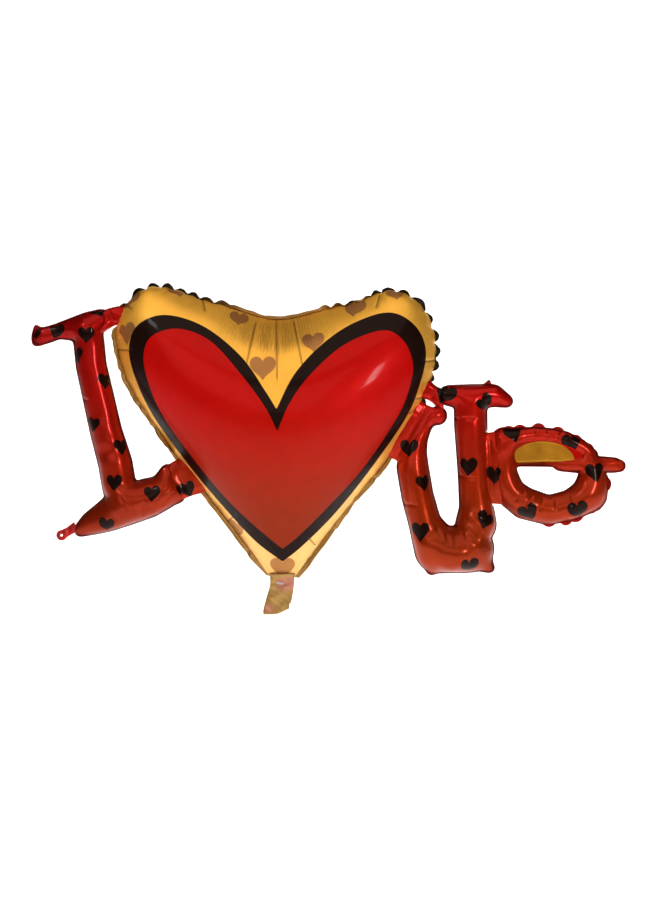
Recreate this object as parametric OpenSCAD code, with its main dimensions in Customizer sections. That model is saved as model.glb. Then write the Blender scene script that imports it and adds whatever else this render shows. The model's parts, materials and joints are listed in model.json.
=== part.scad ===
// Joined foil balloon: a large heart with three inflated letter shapes, L, V and e, hung from it.
// Every chamber is a front and a back film panel welded to a flat seal band. The letters hang on short flat
// webs of that band, which fold like film hinges. X runs to the right, Y away from the viewer and Z up.
// The origin is the middle of the heart's neck, where the ribbon ties and the tail begins.

/* [Size] */
// Width of the inflated heart across its lobes, which scales every outline
heart_w = 406; // [360:1:440]
// Front to back thickness of the inflated heart
heart_depth = 180; // [140:1:200]
// Thickness of the letter tubes, as a share of their drawn width
tube_fill = 0.92; // [0.8:0.02:1]

/* [Film] */
// Drawn thickness of one film panel
film_t = 0.8; // [0.6:0.1:1]
// Drawn thickness of the welded seal band, which is both films together
seam_t = 1; // [0.8:0.1:1.2]
// Width of the heart's seal band outside the chamber
heart_seam_w = 6; // [4:0.5:7]
// Width of the letters' seal band outside the chamber
letter_seam_w = 2; // [1.5:0.25:2.5]

/* [Valve and tail] */
// Width of the valve sleeve inside the neck
valve_w = 18; // [14:1:20]
// Length of the valve sleeve inside the heart
valve_l = 85; // [60:1:100]
// Width of the welded strip along each edge of the tail
tail_seal_w = 4; // [3:0.5:5]

/* [Hang tab] */
// Radius of the punched hole in the hang tab
hole_r = 1.5; // [1:0.25:2]
// Width of the hang tab
tab_w = 11; // [9:1:13]
// Length of the hang tab from its fold
tab_l = 20; // [16:1:24]

/* [Hidden] */

gold = "goldenrod";
red = "firebrick";
dark = "saddlebrown";
clear_film = "mistyrose";

design_w = 406;             // heart width that the point lists below are drawn for
k = heart_w / design_w;     // scale from the drawn points to the part
half_t = seam_t / 2;
big = 2000;                 // larger than the whole balloon, for cutting planes
film_gap = 0.05;            // half the gap between the two valve films

// Heart: the seal line, clockwise seen from the front, from the left of the neck to its right
heart_points = k * [
    [-14.5, 0], [-82, 91], [-149, 178], [-194, 252], [-203, 320], [-163, 362], [-86, 344], [-8, 323],
    [74, 341], [140, 357], [182, 322], [186, 254], [139, 165], [72, 80], [13, 0]
];
heart_middle = k * [-6, 215];
heart_steps = 4;            // outline points for each span between two drawn points
heart_rings = 10;           // rings of facets from the rim to the crown
crown_power = 2.4;          // how flat the crown is: 2 is an ellipse
rim_power = 0.54;           // how upright the dome stands on its rim: 0.5 is an ellipse

// Letters: strokes of the inflated tubes, each point [x, z, radius]
l_strokes = [
    k * [[-301, 301, 9], [-289, 304, 8.5], [-278, 308, 8], [-262, 310, 12], [-240, 313, 17]],
    k * [[-240, 313, 17], [-225, 323, 10.5], [-221, 327, 6]],
    k * [[-241, 300, 17.5], [-238, 265, 17.5], [-221, 184, 18.5], [-210, 144, 20], [-205, 112, 20]],
    k * [[-255, 59, 7], [-240, 68, 13.5], [-221, 77, 18.5], [-198, 90, 24], [-171, 99, 23.5], [-150, 107, 20],
        [-142, 111, 16], [-136, 106, 13]],
    k * [[-150, 112, 16], [-144, 132, 9]]
];
v_strokes = [
    k * [[193, 203, 10.5], [185, 203, 8], [177, 189, 7], [169, 173, 10], [164, 156, 14], [162, 139, 18.5],
        [168.5, 102, 18.5], [178.5, 66, 19], [195, 34, 28.5]],
    k * [[195, 34, 28.5], [235.5, 35, 28.5]],
    k * [[242, 66, 24.5], [242.5, 86, 20], [239.5, 110, 18], [238, 137, 18], [234.5, 190, 19],
        [234, 212, 19]],
    k * [[198, 228.5, 7.5], [207, 228, 11.5], [234, 226, 14.5], [262, 228, 12.5], [279, 221, 6.5]],
    k * [[196, 32, 22], [187, 9, 6]],
    k * [[238, 32, 22], [259, 11, 5]]
];
e_strokes = [
    k * [[385, 153, 7.5], [371, 165, 7.5], [352, 174, 8], [333, 178, 8], [312, 179, 8.5], [296, 176, 10.5],
        [276, 172, 15], [275.5, 150, 13], [277.5, 130, 14], [285, 106, 17], [303, 93, 18.5], [333, 84, 17],
        [362, 91, 18], [384, 104, 21], [387.5, 119, 19]],
    k * [[346, 141, 6], [366, 141.5, 8.5], [392, 142, 9], [414, 141, 8], [421, 140, 6]],
    k * [[288, 143.5, 2.5], [346, 144, 3.5]]
];
eye_points = k * [
    [283, 144], [284, 160], [300, 172], [322, 175], [350, 170], [368, 160], [380, 146], [346, 143]
];

// Corner ears and gathered scallops of the seal bands, outside the tubes, each point [x, z, radius]
l_ears = [k * [[-303, 305, 8], [-306, 315, 2]], k * [[-303, 298, 9], [-308, 292, 3]]];
v_ears = [
    k * [[252, 236, 5], [257, 247, 2]],
    k * [[188, 12, 6], [182, 7, 3]],
    k * [[257, 16, 6], [260, 11, 7]]
];
e_scallops = k * [
    [282, 180, 10.5], [296, 182, 10], [319, 185, 9], [343, 180, 9.5], [365, 170, 9.5], [380, 160, 9],
    [401, 117, 10.5], [391, 93, 10.5], [367, 79, 10.5], [355, 73, 8.5], [334, 72, 9.5], [386, 88, 8.5]
];

// Film hinges. Each fold line is given by two points in the seal plane, with the swinging side on its left.
// A link is a stretch of film across the fold: [start, end, reach on the held side, on the swinging side].
l_fold = k * [[-117, 104], [-212, 326]];
l_links = k * [[0, 43, 20, 10], [232, 250, 10, 12]];
v_fold = k * [[193, 240], [144, 155]];
v_links = k * [[1, 19, 14, 12], [27, 96, 12, 12]];
e_fold = k * [[257, 184], [262.5, 91]];
e_links = k * [[2, 92, 10, 9]];
tail_fold = k * [[13.5, -13], [-16.5, -13]];
tail_links = k * [[1, 6, 8, 2], [24, 29, 8, 2]];
tab_fold = k * [[-264.8, 54.7], [-269.8, 63.3]];
tab_links = k * [[1, 9, 7, 5]];
bead_r = 0.9;               // rounded fold of the film, on the side that swings
groove_r = 0.95;            // the seat of that fold, on the side that is held
link_gap = 0.5;             // clear space at each end of a bead

// Neck and tail
neck_l = -17 * k;
neck_r = 14 * k;
neck_h = 11.5 * k;
neck_middle = (neck_l + neck_r) / 2;
tail_points = k * [
    [-18, -15], [13, -15], [11.5, -25], [9.5, -36], [5, -41], [-6, -46], [-20, -49], [-26, -45], [-23, -30]
];
tail_mouth = k * [[-18, -13], [13, -13], [9.5, -60], [-27, -60]];   // the sleeve, open at its lower end

// ---------- curves ----------

// A point on the smooth curve from p1 to p2, at t from 0 to 1
function catmull(p0, p1, p2, p3, t) =
    0.5 * (2 * p1 + (p2 - p0) * t + (2 * p0 - 5 * p1 + 4 * p2 - p3) * t * t
        + (3 * p1 - p0 - 3 * p2 + p3) * t * t * t);

// A smooth open curve through the points, ends included
function smooth_path(p, steps) = let(last = len(p) - 1) [
    for (i = [0:last - 1]) for (s = [0:steps - 1])
        catmull(p[max(i - 1, 0)], p[i], p[i + 1], p[min(i + 2, last)], s / steps),
    p[last]
];

// The unit normal to the left of the way from a to b
function left_of(a, b) = [a.y - b.y, b.x - a.x] / norm(b - a);

// The closed outline moved outwards by d, for an outline that runs clockwise
function grown(p, d) = let(n = len(p)) [
    for (i = [0:n - 1]) p[i] + d * left_of(p[(i + n - 1) % n], p[(i + 1) % n])
];

heart_outline = smooth_path(heart_points, heart_steps);

// ---------- building blocks ----------

// A flat plate in the seal plane, from y = from_y to y = to_y
module plate(from_y, to_y) {
    translate([0, to_y, 0]) rotate([90, 0, 0]) linear_extrude(to_y - from_y) children();
}

// Everything in front of the seal band, or behind it
module front_half() {
    translate([-big / 2, -big - half_t, -big / 2]) cube(big);
}

module back_half() {
    translate([-big / 2, half_t, -big / 2]) cube(big);
}

// A dome over the heart's outline: rings of points that close in to the crown
function ring_height(share, depth) = depth * pow(max(0, 1 - pow(share, crown_power)), rim_power);
function dome_rings(outline, depth, side) = [
    for (r = [0:heart_rings - 1]) let(share = cos(90 * r / heart_rings))
        for (p = outline) let(q = heart_middle + (p - heart_middle) * share)
            [q.x, side * (half_t + ring_height(share, depth)), q.y]
];

// A film shell: outer and inner dome, joined by a flat rim that lies on the seal band
module dome_shell(side) {
    outer = dome_rings(heart_outline, heart_depth / 2 - half_t, side);
    inner = dome_rings(grown(heart_outline, -film_t), heart_depth / 2 - half_t - film_t, side);
    n = len(heart_outline);
    m = n * heart_rings;
    crown_out = [heart_middle.x, side * heart_depth / 2, heart_middle.y];
    crown_in = crown_out - [0, side * film_t, 0];
    points = concat(outer, inner, [crown_out, crown_in]);
    wall = [for (r = [0:heart_rings - 2]) for (i = [0:n - 1]) let(j = (i + 1) % n)
        each [[r * n + i, r * n + j, (r + 1) * n + j], [r * n + i, (r + 1) * n + j, (r + 1) * n + i]]];
    lid = [for (i = [0:n - 1]) [m - n + i, m - n + (i + 1) % n, 2 * m]];
    outside = concat(wall, lid);
    inside = [for (f = outside) [for (v = [2, 1, 0]) f[v] == 2 * m ? 2 * m + 1 : f[v] + m]];
    rim = [for (i = [0:n - 1]) let(j = (i + 1) % n) each [[j, i, m + i], [j, m + i, m + j]]];
    faces = concat(outside, inside, rim);
    polyhedron(points, side < 0 ? [for (f = faces) [f[2], f[1], f[0]]] : faces);
}

// Round tubes along the strokes, their radius changed by grow
module tubes(strokes, grow) {
    for (s = strokes) for (i = [0:len(s) - 2]) hull() for (p = [s[i], s[i + 1]])
        translate([p[0], 0, p[1]]) scale([1, tube_fill, 1]) sphere(p[2] + grow, $fn = 16);
}

// The same strokes drawn flat in the seal plane
module flat_strokes(strokes, grow) {
    for (s = strokes) for (i = [0:len(s) - 2]) hull() for (p = [s[i], s[i + 1]])
        translate([p[0], p[1]]) circle(p[2] + grow, $fn = 28);
}

module letter_panel(strokes) {
    difference() {
        tubes(strokes, 0);
        tubes(strokes, -film_t);
    }
}

// The welded band round a letter, which leaves room for its links
module letter_band(strokes, ears, scallops) {
    difference() {
        plate(-half_t, half_t) difference() {
            union() {
                flat_strokes(strokes, letter_seam_w);
                flat_strokes(ears, 0);
                for (s = scallops) translate([s[0], s[1]]) circle(s[2], $fn = 28);
            }
            flat_strokes(strokes, -film_t);
        }
        children();
    }
}

// Places its children on a fold line: local X along the line, local Z towards the swinging side
module on_fold(fold) {
    way = fold[1] - fold[0];
    translate([fold[0].x, 0, fold[0].y]) rotate([0, -atan2(way.y, way.x), 0]) children();
}

// A round bar along the fold, from one end of the link to the other
module fold_bar(link, r, spare) {
    translate([link[0] + spare, 0, 0]) rotate([0, 90, 0])
        cylinder(r = r, h = link[1] - link[0] - 2 * spare, $fn = 48);
}

// The space that the links of a fold take from the bands on the held or the swinging side
module held_space(fold, links) {
    on_fold(fold) for (link = links)
        translate([link[0] - link_gap, -seam_t, -link[2]])
            cube([link[1] - link[0] + 2 * link_gap, 2 * seam_t, big]);
}

module swinging_space(fold, links) {
    on_fold(fold) for (link = links)
        translate([link[0], -seam_t, -big]) cube([link[1] - link[0], 2 * seam_t, big + link[3]]);
}

// The held side of the links, which ends in a groove round the fold
module held_links(fold, links) {
    on_fold(fold) for (link = links) difference() {
        translate([link[0], -half_t, -link[2]]) cube([link[1] - link[0], seam_t, link[2]]);
        fold_bar(link, groove_r, -1);
    }
}

// The swinging side of the links, with the rounded fold on its edge
module swinging_links(fold, links) {
    on_fold(fold) for (link = links) {
        translate([link[0] + link_gap, -half_t, 0]) cube([link[1] - link[0] - 2 * link_gap, seam_t, link[3]]);
        fold_bar(link, bead_r, link_gap);
    }
}

// ---------- heart ----------

module heart_front_panel() {
    color(gold) dome_shell(-1);
}

module heart_back_panel() {
    color(gold) dome_shell(1);
}

// Keeps the heart's band off the swinging side of a fold, along its links
module clear_of_fold(fold, links) {
    on_fold(fold) for (link = links)
        translate([link[0] - 4, -seam_t, -groove_r - 0.3]) cube([link[1] - link[0] + 8, 2 * seam_t, 30]);
}

module heart_seal_band() {
    color(dark) {
        difference() {
            plate(-half_t, half_t) difference() {
                polygon(grown(heart_outline, heart_seam_w));
                polygon(grown(heart_outline, -film_t));
                translate([neck_l - 4, -20]) square([neck_r - neck_l + 8, 20]);
                translate([neck_middle - valve_w / 2 - 0.5, -1]) square([valve_w + 1, 4]);
            }
            clear_of_fold(l_fold, l_links);
            clear_of_fold(v_fold, v_links);
        }
        held_links(l_fold, l_links);
        held_links(v_fold, v_links);
    }
}

// ---------- neck, valve and tail ----------

// Both films below the chamber, welded along their edges round the valve, with the seat of the tail's fold
module neck_sleeve() {
    neck_y = half_t + film_t;
    color(gold) {
        difference() {
            translate([neck_l, -neck_y, -neck_h]) cube([neck_r - neck_l, 2 * neck_y, neck_h]);
            translate([neck_middle - valve_w / 2 - 0.5, -half_t, -20]) cube([valve_w + 1, seam_t, 30]);
        }
        held_links(tail_fold, tail_links);
    }
}

module valve_film(from_y, to_y) {
    translate([neck_middle - valve_w / 2, from_y, 1 - neck_h]) cube([valve_w, to_y - from_y, valve_l * k]);
}

module valve_front_film() {
    color(clear_film) valve_film(-half_t, -film_gap);
}

module valve_back_film() {
    color(clear_film) valve_film(film_gap, half_t);
}

module tail_front_film() {
    color(gold) plate(-half_t - film_t, -half_t) polygon(tail_points);
}

module tail_back_film() {
    color(gold) plate(half_t, half_t + film_t) polygon(tail_points);
}

module tail_edge_seals() {
    color(gold) {
        plate(-half_t, half_t) difference() {
            polygon(tail_points);
            polygon([for (i = [0:3]) tail_mouth[i] + [(i == 0 || i == 3 ? 1 : -1) * tail_seal_w, 0]]);
        }
        swinging_links(tail_fold, tail_links);
    }
}

// ---------- letter L ----------

module letter_l_front_panel() {
    color(red) intersection() {
        letter_panel(l_strokes);
        front_half();
    }
}

module letter_l_back_panel() {
    color(red) intersection() {
        letter_panel(l_strokes);
        back_half();
    }
}

module letter_l_seal_band() {
    color(red) letter_band(l_strokes, l_ears, []) {
        swinging_space(l_fold, l_links);
        held_space(tab_fold, tab_links);
    }
}

module letter_l_link_webs() {
    color(red) {
        swinging_links(l_fold, l_links);
        held_links(tab_fold, tab_links);
    }
}

module foot_hang_tab() {
    end_r = tab_w / 2;
    color(red) on_fold(tab_fold) difference() {
        union() {
            translate([5 * k - end_r, -half_t, 2]) cube([tab_w, seam_t, tab_l - end_r - 2]);
            translate([5 * k, 0, tab_l - end_r]) rotate([90, 0, 0])
                cylinder(r = end_r, h = seam_t, center = true, $fn = 64);
            translate([tab_links[0][0] + link_gap, -half_t, 0])
                cube([tab_links[0][1] - tab_links[0][0] - 2 * link_gap, seam_t, 3]);
            fold_bar(tab_links[0], bead_r, link_gap);
        }
        translate([5 * k, 0, tab_l - end_r]) rotate([90, 0, 0])
            cylinder(r = hole_r, h = 3 * seam_t, center = true, $fn = 48);
    }
}

// ---------- letter V ----------

module letter_v_front_panel() {
    color(red) intersection() {
        letter_panel(v_strokes);
        front_half();
    }
}

module letter_v_back_panel() {
    color(red) intersection() {
        letter_panel(v_strokes);
        back_half();
    }
}

module letter_v_seal_band() {
    color(red) letter_band(v_strokes, v_ears, []) {
        swinging_space(v_fold, v_links);
        held_space(e_fold, e_links);
    }
}

module letter_v_link_webs() {
    color(red) {
        swinging_links(v_fold, v_links);
        held_links(e_fold, e_links);
    }
}

// ---------- letter e ----------

module letter_e_front_panel() {
    color(red) intersection() {
        letter_panel(e_strokes);
        front_half();
    }
}

module letter_e_back_panel() {
    color(red) intersection() {
        letter_panel(e_strokes);
        back_half();
    }
}

module letter_e_seal_band() {
    color(red) letter_band(e_strokes, [], e_scallops)
        swinging_space(e_fold, e_links);
}

module letter_e_link_web() {
    color(red) swinging_links(e_fold, e_links);
}

// The letter's eye is not cut out: both films lie flat and welded there
module letter_e_eye_web() {
    color(gold) plate(-half_t, half_t) difference() {
        polygon(eye_points);
        flat_strokes(e_strokes, letter_seam_w);
    }
}

// ---------- nodes ----------

heart_front_panel();
heart_back_panel();
heart_seal_band();
neck_sleeve();
valve_front_film();
valve_back_film();
tail_front_film();
tail_back_film();
tail_edge_seals();
letter_l_front_panel();
letter_l_back_panel();
letter_l_seal_band();
letter_l_link_webs();
letter_v_front_panel();
letter_v_back_panel();
letter_v_seal_band();
letter_v_link_webs();
letter_e_front_panel();
letter_e_back_panel();
letter_e_seal_band();
letter_e_link_web();
letter_e_eye_web();
foot_hang_tab();
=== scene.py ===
"""Joined foil balloon: a gold heart with a printed red heart, and the red letter chambers L, V and e.

Each chamber is cut flat, larger than its inflated outline, and blown up here as two sheets of film
that share a welded rim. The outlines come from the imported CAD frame.
"""
import json
import math

import bpy
import numpy as np
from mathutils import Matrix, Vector
from mathutils.geometry import delaunay_2d_cdt

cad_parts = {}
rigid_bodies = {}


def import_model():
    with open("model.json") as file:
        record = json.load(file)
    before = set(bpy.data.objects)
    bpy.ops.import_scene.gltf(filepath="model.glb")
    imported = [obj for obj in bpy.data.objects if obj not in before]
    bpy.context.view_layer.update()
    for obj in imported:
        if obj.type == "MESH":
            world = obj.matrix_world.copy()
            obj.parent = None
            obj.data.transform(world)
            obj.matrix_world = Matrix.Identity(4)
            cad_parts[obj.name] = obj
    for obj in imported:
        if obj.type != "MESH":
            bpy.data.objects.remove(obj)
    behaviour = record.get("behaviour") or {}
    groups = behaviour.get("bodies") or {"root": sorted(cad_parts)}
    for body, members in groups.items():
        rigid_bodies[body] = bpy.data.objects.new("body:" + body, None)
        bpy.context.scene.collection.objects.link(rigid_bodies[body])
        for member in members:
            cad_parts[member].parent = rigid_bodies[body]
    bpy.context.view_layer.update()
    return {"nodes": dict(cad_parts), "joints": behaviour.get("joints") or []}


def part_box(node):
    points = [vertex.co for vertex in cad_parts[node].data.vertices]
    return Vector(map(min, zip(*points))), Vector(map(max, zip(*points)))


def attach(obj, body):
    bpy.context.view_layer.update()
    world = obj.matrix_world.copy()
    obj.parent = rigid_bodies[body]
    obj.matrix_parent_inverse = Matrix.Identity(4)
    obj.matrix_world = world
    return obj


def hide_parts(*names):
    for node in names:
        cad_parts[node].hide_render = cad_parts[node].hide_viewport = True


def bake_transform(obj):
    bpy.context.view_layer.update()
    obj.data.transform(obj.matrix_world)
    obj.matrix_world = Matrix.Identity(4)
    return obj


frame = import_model()
MM = 0.001
HALF_T = 0.5                # half of the CAD seal band, mm
CAMERA_AWAY = 1.6           # metres
CAMERA_RISE = math.radians(5.0)
LOOK_AT = np.array([0.05875, 0.0, 0.160])
CHUNK = 2000                # points handled at once, to save memory
CAMERA_PLACE = LOOK_AT + CAMERA_AWAY * np.array([0, -math.cos(CAMERA_RISE), math.sin(CAMERA_RISE)])

# ---------- outlines from the frame, in millimetres, as points (x, z) ----------


def cap_loops(node):
    """The closed outlines of a node's flat face in front of the seal plane."""
    mesh = frame["nodes"][node].data
    points = np.array([v.co for v in mesh.vertices], float) / MM
    _, first, same = np.unique(np.round(points, 2), axis=0, return_index=True, return_inverse=True)
    same = first[same.ravel()]
    on_cap = np.abs(points[:, 1] + HALF_T) < 0.02
    sides = set()
    for face in mesh.polygons:
        corners = [int(same[i]) for i in face.vertices]
        if on_cap[corners].all():
            sides.update(zip(corners, corners[1:] + corners[:1]))
    following = {a: b for a, b in sides if (b, a) not in sides}
    loops = []
    while following:
        start, here = following.popitem()
        loop = [start]
        while here != start:
            loop.append(here)
            here = following.pop(here)
        loops.append(points[loop][:, [0, 2]])
    return loops


def inside(p, loops):
    """Which points lie within the loops, by the even-odd rule."""
    found = np.zeros(len(p), bool)
    for loop in loops:
        a, b = loop[None, :, :], np.roll(loop, -1, 0)[None, :, :]
        x, z = p[:, None, 0], p[:, None, 1]
        spans = (a[..., 1] > z) != (b[..., 1] > z)
        rise = np.where(spans, b[..., 1] - a[..., 1], 1)
        cross = a[..., 0] + (z - a[..., 1]) / rise * (b[..., 0] - a[..., 0])
        found ^= (spans & (x < cross)).sum(1) % 2 == 1
    return found


def chamber_loops(node):
    """A panel's own outlines, without the inner face of its film."""
    loops = cap_loops(node)
    depth = [sum(inside(l[:1], [m])[0] for m in loops if m is not l) for l in loops]
    return [l for l, d in zip(loops, depth) if d % 4 in (0, 3)]


def resampled(loop, step):
    """The closed loop again, with its points evenly spaced."""
    ring = np.vstack([loop, loop[:1]])
    along = np.concatenate([[0], np.cumsum(np.linalg.norm(np.diff(ring, axis=0), axis=1))])
    places = np.linspace(0, along[-1], max(6, round(along[-1] / step)), endpoint=False)
    return np.stack([np.interp(places, along, ring[:, i]) for i in (0, 1)], 1)


def rounded(loop, passes, keep_below=None):
    """The loop with its facets smoothed away. Points below keep_below stay."""
    p = resampled(loop, 1.0)
    held = np.zeros(len(p), bool) if keep_below is None else p[:, 1] < keep_below
    for _ in range(passes):
        p = np.where(held[:, None], p, 0.5 * p + 0.25 * (np.roll(p, 1, 0) + np.roll(p, -1, 0)))
    return p


def nearest_of(p, spots):
    """For each point, the number of the spot nearest to it."""
    return np.concatenate([((p[i:i + CHUNK, None] - spots[None]) ** 2).sum(2).argmin(1)
                           for i in range(0, len(p), CHUNK)])


def to_lines(p, loops):
    """Each point's distance to the loops, and the nearest point on them."""
    best, near = np.full(len(p), 1e9), np.zeros((len(p), 2))
    for loop in loops:
        a, b = loop, np.roll(loop, -1, 0)
        for i in range(0, len(p), CHUNK):
            q = p[i:i + CHUNK, None, :]
            way = (b - a)[None]
            t = np.clip(((q - a[None]) * way).sum(2) / np.maximum((way ** 2).sum(2), 1e-9), 0, 1)
            foot = a[None] + t[..., None] * way
            d = np.linalg.norm(q - foot, axis=2)
            k = d.argmin(1)
            rows = np.arange(len(k))
            part = slice(i, i + CHUNK)
            closer = d[rows, k] < best[part]
            best[part] = np.where(closer, d[rows, k], best[part])
            near[part] = np.where(closer[:, None], foot[rows, k], near[part])
    return best, near


# ---------- a film: two layers welded at the rim, and the flat seal outside it ----------

FRONT, BACK, SEAL = 0, 1, 2
HOLE_ROUNDING = 60          # smoothing passes for the rim of a hole in a letter
HOLE_SOFTEN = 10            # and for the border of the seal in it
KEEP = 0.97                 # how much of its speed the film keeps from one step to the next
CRUSH = 0.25                # how firmly it resists being squeezed, where 1 is fully
CREASE = 0.05               # how firmly it resists being folded
RIM_FIRM, SMOOTH_FIRM = 0.1, 0.5        # how firmly the rim is held to its outline
RIM_FLAT, SMOOTH_FLAT = 0.004, 0.12     # and in the plane of the seal
WEB_FLAT = 0.3              # and in that plane where a web holds it
WEB_HOLDS = 5               # how near to a web the rim is held by it, mm
WEB_CALMS = 14              # and the seal lies flat
FLAT_BY_WEB, FLAT_WHEN_SETTLED = 0.08, 0.2      # what is left there of its waves


def rim_and_border(rims, borders):
    """The points of the rims and of the seal's borders, their sides, and how many of those are rim."""
    points, sides = [], []
    count = 0
    for loop in rims:
        n = len(loop)
        points.append(loop)
        sides += [(count + i, count + (i + 1) % n) for i in range(n)]
        count += n
    rim_sides = len(sides)
    for loop in borders:
        far = to_lines(loop, rims)[0] > 0.5
        outer = far & ~inside(loop, rims)
        ids = np.where(outer, count + np.cumsum(outer) - 1, -1)
        points.append(loop[outer])
        sides += [(int(a), int(b)) for a, b in zip(ids, np.roll(ids, -1)) if a >= 0 and b >= 0 and a != b]
        count += int(outer.sum())
    return points, sides, rim_sides


def grid_within(rims, step):
    """The points of an even triangular grid inside the rims and clear of them."""
    low, high = np.vstack(rims).min(0), np.vstack(rims).max(0)
    rows = np.arange(low[1], high[1], step * math.sqrt(0.75))
    grid = np.array([(x + (i % 2) * step / 2, z) for i, z in enumerate(rows)
                     for x in np.arange(low[0], high[0], step)])
    return grid[inside(grid, rims) & (to_lines(grid, rims)[0] > 0.55 * step)]


def triangulated(rims, borders, step):
    """Flat triangles over the chamber and its seal: points, triangles, which are seal, rim sides."""
    points, sides, rim_sides = rim_and_border(rims, borders)
    points.append(grid_within(rims, step))
    extra = np.zeros((0, 2))
    for _ in range(3):
        everything = np.vstack(points + [extra])
        out = delaunay_2d_cdt([tuple(p) for p in everything], sides, [], 0, 1e-4, True)
        p = np.array([tuple(v) for v in out[0]])
        t = np.array(out[2])
        own_rim = {frozenset(e) for e, o in zip(out[1], out[4]) if any(i < rim_sides for i in o)}
        on_rim = np.zeros(len(p), bool)
        on_rim[[v for e in own_rim for v in e]] = True
        middle = p[t].mean(1)
        kept_in = inside(middle, rims)
        chords = {frozenset((int(a), int(b))) for tri in t[kept_in] for a, b in zip(tri, np.roll(tri, -1))
                  if on_rim[a] and on_rim[b]} - own_rim
        if not chords:
            break
        extra = np.vstack([extra, [p[list(c)].mean(0) for c in chords]])
    seal = ~kept_in & inside(middle, borders)
    t = t[kept_in | seal]
    turn = turn_of(p, t)
    t[turn < 0] = t[turn < 0][:, ::-1]
    real = np.abs(turn) > 1e-3
    seal = seal[kept_in | seal][real]
    used, t = np.unique(t[real], return_inverse=True)
    number = np.full(len(p), -1)
    number[used] = np.arange(len(used))
    own_rim = [tuple(int(number[v]) for v in e) for e in own_rim if all(number[v] >= 0 for v in e)]
    return p[used], t.reshape(-1, 3), seal, own_rim


def turn_of(p, tris):
    """Twice the signed area of flat triangles."""
    a, b, c = p[tris[:, 0]], p[tris[:, 1]], p[tris[:, 2]]
    return (b - a)[:, 0] * (c - a)[:, 1] - (b - a)[:, 1] * (c - a)[:, 0]


def groups_of(pairs, count):
    """Pairs in groups that share no point, so that a whole group can be moved at once."""
    used, colour = [0] * count, np.zeros(len(pairs), int)
    for i, (a, b) in enumerate(pairs.tolist()):
        free = ~(used[a] | used[b])
        low = free & -free
        used[a] |= low
        used[b] |= low
        colour[i] = low.bit_length() - 1
    return [np.flatnonzero(colour == c) for c in range(colour.max() + 1)]


def sides_of(tris):
    """The unique sides of the triangles, and for each triangle the numbers of its three sides."""
    every = np.sort(np.concatenate([tris[:, [0, 1]], tris[:, [1, 2]], tris[:, [2, 0]]]), 1)
    pairs, number = np.unique(every, axis=0, return_inverse=True)
    return pairs, number.reshape(3, -1).T


def across(tris, kinds):
    """Pairs of points that face each other over a side, within one layer."""
    _, number = sides_of(tris)
    key = (number + kinds[:, None] * (number.max() + 1)).ravel()
    opposite = tris[:, [2, 0, 1]].ravel()
    order = np.argsort(key, kind="stable")
    key, opposite = key[order], opposite[order]
    same = np.flatnonzero(key[1:] == key[:-1])
    return np.stack([opposite[same], opposite[same + 1]], 1)


def summed(spots, values, count):
    """Adds up the rows of values that belong to the same spot."""
    return np.stack([np.bincount(spots, column, count) for column in values.T], 1)


def pull_together(x, a, b, length, when_long, when_short):
    """Moves the points of each pair towards their length apart."""
    step = x[b] - x[a]
    now = np.sqrt(np.einsum("ij,ij->i", step, step)) + 1e-9
    off = (now - length) / now
    step *= (np.where(off > 0, when_long, when_short) * off * 0.5)[:, None]
    x[a] += step
    x[b] -= step


MIDDLE_X = -8               # the dip of the heart lies this far to the side
DIP_HALF = 40               # half the width of the part at the dip that gathers little, and how it fades
DIP_SHARE, LEFT_SHARE = 0.12, 0.2       # what is left of the gathers at the dip and on the left
LEFT_X, LEFT_TOP = -60, 335             # the left is the part beyond the one and below the other


class Gathers:
    """The places along an outer rim where its spare length gathers into pleats."""

    def __init__(self, node, spacing, depth, lowest):
        loop = rounded(max(chamber_loops(node), key=len), 12)
        loop = resampled(loop, 1.0)
        if turn_of(loop, np.array([[0, i, i + 1] for i in range(1, len(loop) - 1)])).sum() > 0:
            loop = loop[::-1]
        self.loop = loop
        self.places = np.cumsum(spacing * rng.uniform(0.7, 1.35, int(2 * len(loop) / spacing)))
        self.depth = depth
        self.lowest = lowest
        way = np.roll(loop, -4, 0) - np.roll(loop, 4, 0)
        self.outward = np.stack([-way[:, 1], way[:, 0]], 1) / np.linalg.norm(way, axis=1)[:, None]

    def at(self, p):
        """How far each point is drawn in, from 0 to 1, and its way out. Less at the dip and the left."""
        nearest = nearest_of(p, self.loop)
        wave = np.interp(nearest, self.places, np.arange(len(self.places)))
        from_dip = np.abs(p[:, 0] - MIDDLE_X)
        share = np.clip((p[:, 1] - self.lowest) / 60, 0, 1)
        share = share * np.clip((from_dip - DIP_HALF) / DIP_HALF, DIP_SHARE, 1)
        left_side = (p[:, 0] < LEFT_X) & (p[:, 1] < LEFT_TOP)
        share = np.where(left_side, LEFT_SHARE * share, share)
        return (1 - np.abs(np.sin(math.pi * wave))) * share, self.outward[nearest]


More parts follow.
